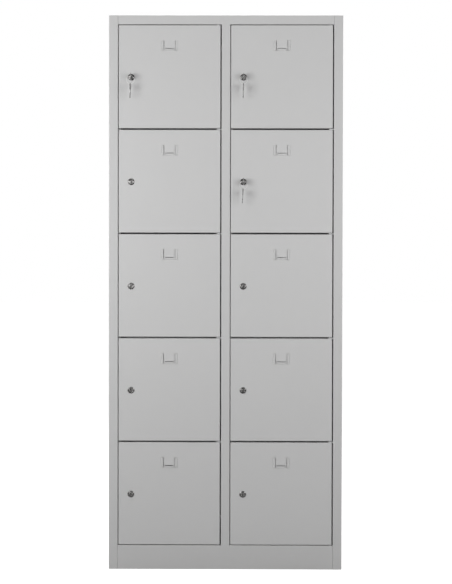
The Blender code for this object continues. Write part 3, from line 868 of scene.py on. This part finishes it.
# %% Hinge plates and pins
PLATE_LIFT = 0.0004
PLATE_THICK = 0.0032
PLATE_PAST_PIN = 0.0046
PLATE_DEPTH = 0.014
PLATE_SETBACK = 0.0002
PIN_RADIUS = 0.0025
PIN_ENGAGE = 0.005
COLLAR_WALL = 0.002
COLLAR_HEIGHT = 0.0008
column_edges = {"left": -post_half, "right": stile_edge}


def plates(side):
    shapes = []
    for row in range(2, ROWS + 1):
        axis = pivots[f"door_{side}_{row}_hinge"]
        bottom = axis.z + pan_high.z + PLATE_LIFT
        low = (axis.x - PLATE_PAST_PIN, front + PLATE_SETBACK, bottom)
        high = (column_edges[side] + SHEET / 2, front + PLATE_DEPTH, bottom + PLATE_THICK)
        plate = eased(boxes([(low, high)]), 0.0003)
        ends = [(*axis.xy, bottom - OVER), (*axis.xy, bottom + PLATE_THICK + OVER)]
        shapes.append(cut(plate, rod(*ends, PIN_HOLE, 24)))
    return shaded(joined(*shapes))


def hinge_pin(low, high, collar):
    """A pin with rounded ends, and a collar at a given height that rests on the plate."""
    points = [(0, high), (PIN_RADIUS, high)]
    if collar is not None:
        wide, crest = PIN_RADIUS + COLLAR_WALL, collar + COLLAR_HEIGHT
        points += [(PIN_RADIUS, crest), (wide, crest), (wide, collar), (PIN_RADIUS, collar)]
    points += [(PIN_RADIUS, low), (0, low)]
    return shaded(turned(rounded(points, 0.0005), 24))


def fixed_pins():
    """The studs at the ends of both columns."""
    studs = []
    for side in SIDES:
        axis = pivots[f"door_{side}_1_hinge"]
        inside = axis.z + pan_high.z - SHEET - PIN_ENGAGE
        studs.append(moved(hinge_pin(inside, rail_edge + SHEET, None), (*axis.xy, 0)))
        axis = pivots[f"door_{side}_{ROWS}_hinge"]
        inside = axis.z + pan_low.z + SHEET + PIN_ENGAGE
        studs.append(moved(hinge_pin(plinth_top - SHEET, inside, None), (*axis.xy, 0)))
    return joined(*studs)


for side in SIDES:
    piece(f"hinge_plates_{side}", plates(side), cabinet_coat, "cabinet", "cabinet_coat")
    for row in range(1, ROWS):
        node = f"hinge_pin_{side}_{row}"
        low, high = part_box(node)
        plate_top = pivots[f"door_{side}_{row + 1}_hinge"].z + pan_high.z + PLATE_LIFT + PLATE_THICK
        pin = hinge_pin(low.z, high.z, plate_top + TOUCH / 2)
        axis = pivots[f"door_{side}_{row}_hinge"]
        piece(f"pivot_{side}_{row}", moved(pin, (*axis.xy, 0)), zinc, "cabinet", "hinge_zinc", node)
piece("end_pivots", shaded(fixed_pins()), zinc, "cabinet", "hinge_zinc")
print("hinges made")

# %% [markdown]
# ## Cam locks
# A cam lock is a nickel-plated housing with a rosette in front and a threaded body behind, which a hex
# nut pulls against the door from inside. The plug turns in it. On the plug's rear end a washer and a
# screw hold the cam, a flat finger that swings behind the stop lip. Every lock is made once and moved to
# its door.

# %% Housing and nut
rosette_low, rosette_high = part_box("lock_housing_left_1")
ROSETTE_RADIUS = (rosette_high.x - rosette_low.x) / 2
ROSETTE_HEIGHT = front - rosette_low.y
BODY_LENGTH = rosette_high.y - front
BORE = 0.0063
PLUG_RADIUS = 0.006
THREAD_PITCH = 0.001
THREAD_DEPTH = 0.0004
THREAD_START = 0.002  # below the door's face
NUT_HALF = 0.011
NUT_THICK = 0.004
NUT_CHAMFER = 0.0009


def housing():
    """Rosette with a rolled edge, and a threaded body with two flats. Height 0 is the door's face."""
    edge = ROSETTE_RADIUS
    face = ROSETTE_HEIGHT
    outline = [
        (BORE, face - 0.0002),
        (BORE + 0.0005, face),
        (edge - 0.0022, face),
        (edge - 0.0003, face - 0.0012),
        (edge, TOUCH / 2),
        (BODY_RADIUS, TOUCH / 2),
    ]
    points = rounded(outline, 0.0006)
    turns = int((BODY_LENGTH - 0.003) / THREAD_PITCH)
    for turn in range(turns):
        level = -THREAD_START - turn * THREAD_PITCH
        points += [(BODY_RADIUS, level), (BODY_RADIUS - THREAD_DEPTH, level - THREAD_PITCH / 2)]
    points += [(BODY_RADIUS - THREAD_DEPTH, -BODY_LENGTH), (BORE, -BODY_LENGTH)]
    mesh = turned(points, 48, ring=True)
    for vert in mesh.vertices:
        if vert.co.z < 0:
            vert.co.x = min(max(vert.co.x, -BODY_FLAT), BODY_FLAT)
    return shaded(moved(mesh, FORWARD))


def nut():
    """A hex nut on the body, its corners chamfered by cutting it with a cone-sided blank."""
    seat = -SHEET - TOUCH / 2
    bore = BODY_RADIUS + TOUCH / 2
    rear = seat - NUT_THICK
    corner = NUT_HALF / cos(pi / 6)
    hexagon = turned([(bore, seat), (corner, seat), (corner, rear), (bore, rear)], 6, True)
    flat = NUT_HALF + 0.0002
    outline = [(0, seat + OVER), (flat, seat + OVER), (flat, seat), (corner, seat - NUT_CHAMFER)]
    outline += [(corner, rear + NUT_CHAMFER), (flat, rear), (flat, rear - OVER), (0, rear - OVER)]
    return shaded(moved(cut(hexagon, turned(outline, 48), "INTERSECT"), FORWARD))


lock_housing, lock_nut = housing(), nut()
print("housing:", len(lock_housing.polygons), "faces; nut:", len(lock_nut.polygons), "faces")

# %% Plug with its keyway
plug_low, plug_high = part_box("lock_plug_left_1")
CAM_THICK = 0.002
CAM_DEPTH = plug_high.y - front - CAM_THICK
CAM_REACH = lock_axis.z - plug_low.z
CAM_HUB = 0.0085
CAM_TIP = 0.006
PLUG_RECESS = 0.0004
KEY_THICK = 0.002
BLADE_HALF = 0.0038
WARD = 0.0004
WARD_HEIGHTS = ((0.0014, 1), (-0.0012, -1))  # height of each ward, and the side it stands on
WARD_HALF = 0.0004
KEYWAY_END = -0.0165


def prism(outline, low, high):
    """An outline in the XY plane, given a height."""
    bm = bmesh.new()
    face = bm.faces.new([bm.verts.new((x, y, low)) for x, y in outline])
    grown = bmesh.ops.extrude_face_region(bm, geom=[face])["geom"]
    tops = [item for item in grown if isinstance(item, bmesh.types.BMVert)]
    bmesh.ops.translate(bm, verts=tops, vec=(0, 0, high - low))
    bmesh.ops.recalc_face_normals(bm, faces=bm.faces)
    return mesh_of(bm)


def keyway():
    """A slot just wider than a key, with a ward standing in from each side."""
    wide = KEY_THICK / 2 + TOUCH
    tall = BLADE_HALF + TOUCH
    sides = {}
    for level, side in WARD_HEIGHTS:
        step = side * (wide - WARD)
        sides[side] = [
            (side * wide, level - WARD_HALF),
            (step, level - WARD_HALF),
            (step, level + WARD_HALF),
            (side * wide, level + WARD_HALF),
        ]
    right = [(wide, -tall), *sides[1], (wide, tall)]
    left = [(-wide, tall), *reversed(sides[-1]), (-wide, -tall)]
    return prism(right + left, KEYWAY_END, ROSETTE_HEIGHT + OVER)


def plug():
    face = ROSETTE_HEIGHT - PLUG_RECESS
    rear = -CAM_DEPTH + TOUCH / 3
    outline = [(0, face), (PLUG_RADIUS - 0.0012, face), (PLUG_RADIUS - 0.0009, face - 0.0003)]
    outline += [(PLUG_RADIUS, face - 0.0003), (PLUG_RADIUS, rear), (0, rear)]
    mesh = cut(turned(rounded(outline, 0.0002, 2), 40), keyway())
    return shaded(moved(mesh, FORWARD))


lock_plug = plug()
print("plug:", len(lock_plug.polygons), "faces")

# %% [markdown]
# ### The cam and its fastening
# The cam is stamped from flat bar: a round hub, two straight flanks that run in to a smaller round tip,
# and broken edges. Arcs give both rounds, and the flanks are the straight runs between them.

# %% Cam, washer and screw
WASHER = 0.0007
WASHER_BORE = 0.0031
WASHER_RADIUS = 0.0064
HEX_HALF = 0.004
HEAD_THICK = 0.0032
HEAD_CHAMFER = 0.0007


def arc(centre, radius, first, last, steps):
    angles = (first + (last - first) * step / steps for step in range(steps + 1))
    return [(centre[0] + radius * cos(a), centre[1] + radius * sin(a)) for a in angles]


def cam():
    tip = (0, -CAM_REACH + CAM_TIP)
    outline = arc((0, 0), CAM_HUB, 0, pi, 20) + arc(tip, CAM_TIP, pi, tau, 12)
    bar = eased(prism(outline, -CAM_DEPTH - CAM_THICK, -CAM_DEPTH), 0.0003)
    return shaded(moved(bar, FORWARD))


def cam_screw():
    """A hex head, its rear corners chamfered by cutting it with a cone-sided blank."""
    seat = -CAM_DEPTH - CAM_THICK - WASHER
    rear = seat - HEAD_THICK
    corner = HEX_HALF / cos(pi / 6)
    head = turned([(0, seat), (corner, seat), (corner, rear), (0, rear)], 6)
    outline = [(0, seat + OVER), (corner, seat + OVER), (corner, rear + HEAD_CHAMFER)]
    outline += [(HEX_HALF * 0.9, rear), (0, rear)]
    return shaded(moved(cut(head, turned(outline, 36), "INTERSECT"), FORWARD))


def cam_washer():
    seat = -CAM_DEPTH - CAM_THICK
    rear = seat - WASHER
    outline = [(WASHER_BORE, seat), (WASHER_RADIUS, seat), (WASHER_RADIUS, rear), (WASHER_BORE, rear)]
    return shaded(moved(turned(outline, 36, ring=True), FORWARD))


lock_cam, screw, washer = cam(), cam_screw(), cam_washer()
for label in LABELS:
    place = pivots[f"lock_{label}_turn"]
    for name, shape, finish, owner, slot, *nodes in (
        ("housing", lock_housing, nickel, "door", "lock_nickel", f"lock_housing_{label}"),
        ("lock_nut", lock_nut, zinc, "door", "hinge_zinc"),
        ("plug", lock_plug, plug_steel, "lock", "plug_steel", f"lock_plug_{label}"),
        ("cam", lock_cam, zinc, "lock", "hinge_zinc"),
        ("cam_washer", washer, zinc, "lock", "hinge_zinc"),
        ("cam_screw", screw, zinc, "lock", "hinge_zinc"),
    ):
        piece(f"{name}_{label}", moved(shape, place), finish, f"{owner}_{label}", slot, *nodes)
print("locks fitted")

# %% [markdown]
# ## Keys
# A key has two parts in one stamping. The bow is a disc with a round rim, so it is turned, and the blade
# is an outline, straight above and cut to five depths below, that is filled and thickened. A union joins
# them. Then the bow is coined to a shallow dish on both sides, and two grooves are milled along the blade
# where the keyway has its wards.

# %% Cut the keys
key_low, key_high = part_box(f"key_{KEYED[0]}")
BOW_RADIUS = (key_high.z - key_low.z) / 2
BOW_CENTRE = front - key_low.y - BOW_RADIUS
BOW_HOLE = 0.0028
HOLE_OFFSET = 0.0075
BLADE_TIP = key_high.y - front + BOW_CENTRE
CUT_DEPTHS = (0.0016, 0.0008, 0.0022, 0.0012, 0.0019)
CUT_PITCH = 0.0031
CUT_FLANK, CUT_END = 0.001, 0.0018  # from where a cut starts, along the blade
CUTS_LENGTH = 0.0185  # from the first cut to the tip
DISH_RADIUS = 0.0085
DISH_DEPTH = 0.00025
BOW_ROUND = 0.0008


def blade_outline():
    """The blade along +X from inside the bow, with its cuts on the lower edge."""
    root = BOW_RADIUS * 0.8
    start = BLADE_TIP - CUTS_LENGTH
    cuts = []
    for number, depth in enumerate(CUT_DEPTHS):
        x = start + number * CUT_PITCH
        floor = -BLADE_HALF + depth
        cuts += [(x, -BLADE_HALF), (x + CUT_FLANK, floor), (x + CUT_END, floor)]
    tip = [(BLADE_TIP - 0.0025, -BLADE_HALF), (BLADE_TIP, -0.0008), (BLADE_TIP, 0.0008)]
    return [(root, BLADE_HALF), (root, -BLADE_HALF), *cuts, *tip, (BLADE_TIP - 0.002, BLADE_HALF)]


def key():
    half = KEY_THICK / 2
    rim = [(0, half), (BOW_RADIUS, half), (BOW_RADIUS, -half), (0, -half)]
    blade = eased(prism(blade_outline(), -half, half), 0.00025)
    blank = cut(turned(rounded(rim, BOW_ROUND, 4), 64), blade, "UNION")
    hole = rod((-HOLE_OFFSET, 0, -half - OVER), (-HOLE_OFFSET, 0, half + OVER), BOW_HOLE, 24)
    blank = cut(blank, hole)
    floor = -half + DISH_DEPTH
    dish = [(0, -half - OVER), (DISH_RADIUS, -half - OVER), (DISH_RADIUS, -half)]
    dish = turned(dish + [(DISH_RADIUS - 0.0006, floor), (0, floor)], 32)
    blank = cut(cut(blank, dish), moved(dish, Matrix.Rotation(pi, 4, "X")))
    grooves = []
    for level, side in WARD_HEIGHTS:
        inner, outer = sorted((side * (half - WARD), side * (half + OVER)))
        low = (BOW_RADIUS + 0.004, level - WARD_HALF - TOUCH / 2, inner)
        grooves.append((low, (BLADE_TIP + OVER, level + WARD_HALF + TOUCH / 2, outer)))
    return shaded(cut(blank, boxes(grooves)))


def directions(x, y, z):
    """The turn that sends +X, +Y and +Z to the three given directions."""
    return Matrix((x, y, z)).transposed().to_4x4()


key_shape = key()
in_lock = (directions((0, 1, 0), (0, 0, 1), (1, 0, 0)), (0, -BOW_CENTRE, 0))
for label in KEYED:
    fitted = moved(key_shape, *in_lock, pivots[f"lock_{label}_turn"])
    body, node = f"lock_{label}", f"key_{label}"
    piece(f"inserted_key_{label}", fitted, key_steel, body, "key_steel", node)
print("key:", len(key_shape.polygons), "faces")

# %% [markdown]
# ### Split rings and spare keys
# A split ring is a wire wound nearly twice round, so it is a flat spiral staircase of two steps. That
# follows a path, and a geometry tree makes it: Spiral gives the wire's middle line and Curve to Mesh its
# thickness. The spare key hangs in the ring by its own weight, and each set hangs a little out of plumb,
# as keys do.

# %% Rings
ring_low, ring_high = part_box(f"key_ring_{KEYED[0]}")
WIRE = 0.0005
TURNS = 1.9
RING_RADIUS = (ring_high.x - ring_low.x) / 2 - 2 * WIRE
LEANS = {"left_1": 1.6, "right_1": 1.4, "right_2": 3.2}
TWIST = Matrix.Rotation(radians(-7), 4, "Z")  # the spare key's turn on the ring


def split_ring_tree():
    sizes = dict.fromkeys(("Ring Radius", "Wire Radius", "Rise", "Turns"), "Float")
    nodes, given = new_tree("split ring", {**sizes, "Finish": "Material"})
    winding = {
        "Resolution": 48,
        "Rotations": given["Turns"],
        "Start Radius": given["Ring Radius"],
        "End Radius": given["Ring Radius"],
        "Height": given["Rise"],
    }
    spiral = nodes.add("GeometryNodeCurveSpiral", {}, winding).outputs[0]
    section = {"Resolution": 10, "Radius": given["Wire Radius"]}
    wire = nodes.add("GeometryNodeCurvePrimitiveCircle", {}, section).outputs[0]
    sockets = {"Curve": spiral, "Profile Curve": wire, "Fill Caps": True}
    return end_tree(nodes, given, nodes.add("GeometryNodeCurveToMesh", {}, sockets).outputs[0])


def split_ring():
    inputs = {"Ring Radius": RING_RADIUS, "Wire Radius": WIRE, "Rise": 2 * WIRE, "Turns": TURNS}
    inputs["Finish"] = ring_steel
    coil = grow(split_ring_tree(), bpy.data.meshes.new("start"), inputs)
    return moved(coil, (0, 0, -WIRE), FORWARD, (0, 0, -RING_RADIUS))


ring = shaded(split_ring())
spare_hole = -2 * RING_RADIUS - BOW_HOLE + WIRE
hanging = (directions((0, 0, -1), (0, 1, 0), (1, 0, 0)), (0, 0, spare_hole - HOLE_OFFSET))
for label in KEYED:
    place = pivots[f"keys_{label}_swing"]
    lean = Matrix.Rotation(radians(LEANS[label]), 4, "Y")
    body, node = f"keys_{label}", f"key_ring_{label}"
    hung = moved(key_shape, *hanging, TWIST, lean, place)
    piece(f"split_ring_{label}", moved(ring, lean, place), ring_steel, body, "ring_steel", node)
    piece(f"spare_key_{label}", hung, key_steel, body, "key_steel")
print("rings:", len(ring.polygons), "faces each")

# %% [markdown]
# ## Rivets and buffers
# Small parts come in rows at an even pitch: blind rivets in the flanges behind the back sheet, and rubber
# buffers in the stop lips that keep the doors from ringing. One tree sets a row out along a line: it
# takes the small part as its geometry, puts a copy at each point, and makes the copies real.

# %% Rows of small parts
SEAT = 0.00002  # a small part's gap to the sheet that it sits on


def row_tree():
    sizes = {"Start": "Vector", "End": "Vector", "Count": "Int", "Finish": "Material"}
    nodes, given = new_tree("row of small parts", sizes)
    ends = {"Start": given["Start"], "End": given["End"]}
    line = nodes.add("GeometryNodeCurvePrimitiveLine", {}, ends).outputs[0]
    spread = {"Curve": line, "Count": given["Count"]}
    points = nodes.add("GeometryNodeCurveToPoints", {"mode": "COUNT"}, spread).outputs[0]
    sockets = {"Points": points, "Instance": given["Geometry"]}
    return end_tree(nodes, given, nodes.add("GeometryNodeInstanceOnPoints", {}, sockets).outputs[0])


row = row_tree()


def rows(shape, lines, finish):
    """One mesh of rows, each from its first to its last point and with a number of parts."""
    meshes = [
        grow(row, shape.copy(), {"Start": start, "End": end, "Count": count, "Finish": finish})
        for start, end, count in lines
    ]
    return shaded(joined(*meshes))


def rivet():
    """A domed head with a flange, and the small pit that the broken mandrel leaves. It faces +Y."""
    outline = [(0, 0.0006), (0.0009, 0.0006), (0.0011, 0.0010), (0.0019, 0.0007)]
    outline += [(0.0031, 0.0001), (0.0031, 0), (0, 0)]
    return moved(turned(rounded(outline, 0.0003, 2), 12), FORWARD.inverted())


def buffer():
    """A flat rubber button on the lip, facing the door, and the barb that holds it from behind."""
    outline = [(0, TOUCH), (0.0024, TOUCH), (0.0028, SEAT), (0.0014, SEAT), (0.0014, -0.0012)]
    outline += [(0.0021, -0.0014), (0.0012, -0.0028), (0, -0.0028)]
    return moved(turned(rounded(outline, 0.0002, 2), 16), FORWARD)


SIDE_RIVETS, TOP_RIVETS = 10, 5
SIDE_MARGIN, TOP_MARGIN = 0.05, 0.08  # from a row's ends to the sheet's
across = half_width - BACK_FLANGE / 2 - 0.002
rear = back + SEAT
lines = []
for x in (-across, across):
    ends = [(x, rear, plinth_top + SIDE_MARGIN), (x, rear, height - SIDE_MARGIN)]
    lines.append((*ends, SIDE_RIVETS))
x, level = half_width - TOP_MARGIN, height - BACK_FLANGE / 2
lines.append(((-x, rear, level), (x, rear, level), TOP_RIVETS))
piece("back_rivets", rows(rivet(), lines, zinc), zinc, "cabinet", "hinge_zinc")

BUFFER_SPREAD = 0.125
lips = {"left": -stile_edge + STOP_LIP * 0.6, "right": post_half + STOP_LIP * 0.6}
buttons = []
for label in LABELS:
    side = label.split("_")[0]
    middle = pivots[f"door_{label}_hinge"].z
    ends = [(lips[side], front + STOP_DEPTH, middle + sign * BUFFER_SPREAD) for sign in (-1, 1)]
    buttons.append((*ends, 2))
piece("lip_buffers", rows(buffer(), buttons, buffer_rubber), buffer_rubber, "cabinet", "buffer_rubber")
print("rows:", 2 * SIDE_RIVETS + TOP_RIVETS, "rivets and", 2 * len(LABELS), "buffers")

# %% [markdown]
# ## Floor, light and camera
# The floor is a pale disc that runs on past the view, so that no edge or horizon shows. Two soft boxes
# stand in front, the left one stronger: they leave a soft shadow on either side of the hanging keys, and
# their light falls off towards the plinth. A weak one hangs over the front. Four more light the sides,
# the back and the top; they stand behind the plane of the doors, so the front doesn't change when one of
# them does. The camera stands four metres away, at the height of the locker's middle.

# %% Stage
FLOOR_RADIUS = 40.0


def pale_floor():
    """Pale, and lit from within for the eye alone, so that it doesn't light the plinth from below."""
    ground = Finish("pale floor", {"Roughness": 0.9, "Emission Strength": 1.0})
    colour = ground.mix(ground.noise(1.2, 3), grey(0.29), grey(0.31))
    seen = ground.add("ShaderNodeLightPath").outputs["Is Camera Ray"]
    glow = ground.mix(seen, grey(0.0), grey(1.0))
    ground.tree.links.new(colour, ground.shader.inputs["Base Color"])
    ground.tree.links.new(glow, ground.shader.inputs["Emission Color"])
    bm = bmesh.new()
    bmesh.ops.create_circle(bm, cap_ends=True, segments=96, radius=FLOOR_RADIUS)
    mesh = mesh_of(bm)
    mesh.materials.append(ground.material)
    floor = placed("floor", mesh)


def soft_box(name, place, aim, width, tall, power):
    data = bpy.data.lights.new(name, "AREA")
    data.shape = "RECTANGLE"
    data.size, data.size_y = width, tall
    data.energy = power
    lamp = placed(name, data)
    lamp.location = place
    lamp.rotation_euler = (Vector(aim) - Vector(place)).to_track_quat("-Z", "Y").to_euler()


def studio_air(strength):
    """White seen directly, and a gentler even light on everything else."""
    world = bpy.data.worlds.new("studio")
    world.use_nodes = True
    bpy.context.scene.world = world
    nodes = Nodes(world.node_tree)
    background = world.node_tree.nodes["Background"]
    seen = nodes.add("ShaderNodeLightPath").outputs["Is Camera Ray"]
    level = Number(nodes, seen) * (1 - strength) + strength
    world.node_tree.links.new(level.socket, background.inputs["Strength"])
    background.inputs["Color"].default_value = (1, 1, 1, 1)


pale_floor()
studio_air(0.06)
soft_box("left_box", (-1.5, front - 1.8, 1.4), (0, front, 1.25), 1.5, 1.2, 33)
soft_box("right_box", (1.6, front - 1.8, 1.4), (0, front, 1.25), 1.5, 1.2, 26)
soft_box("top_box", (0, front - 1.4, 3.3), (0, front - 0.2, 1.2), 2.4, 1.2, 8)
soft_box("left_side_box", (-2.8, front + 0.7, 1.5), (-half_width, front + 0.4, 0.95), 1.2, 1.6, 38)
soft_box("right_side_box", (2.8, front + 0.7, 1.5), (half_width, front + 0.4, 0.95), 1.2, 1.6, 34)
soft_box("rear_box", (0.9, back + 2.4, 1.9), (0, back, 1.0), 1.6, 1.4, 50)
soft_box("overhead_box", (0, back + 0.4, 4.0), (0, back - 0.1, height), 1.4, 0.9, 38)
bpy.context.scene.view_settings.view_transform = "Standard"
print("stage set")

# %% Camera
CAMERA_DISTANCE = 4.0
CAMERA_SIDE = 0.0286
CAMERA_HEIGHT = 0.9819
LOOK_DOWN = radians(0.760)
TURN_LEFT = radians(0.389)
LEAN = radians(0.112)
LENS = 73.85

camera_data = bpy.data.cameras.new("camera")
camera_data.lens = LENS
camera = placed("camera", camera_data)
camera.location = (CAMERA_SIDE, front - CAMERA_DISTANCE, CAMERA_HEIGHT)
turn = Matrix.Rotation(TURN_LEFT, 4, "Z") @ Matrix.Rotation(pi / 2 - LOOK_DOWN, 4, "X")
camera.rotation_euler = (turn @ Matrix.Rotation(LEAN, 4, "Z")).to_euler()
bpy.context.scene.camera = camera
print("camera", LENS, "mm lens at", [round(c, 3) for c in camera.location])
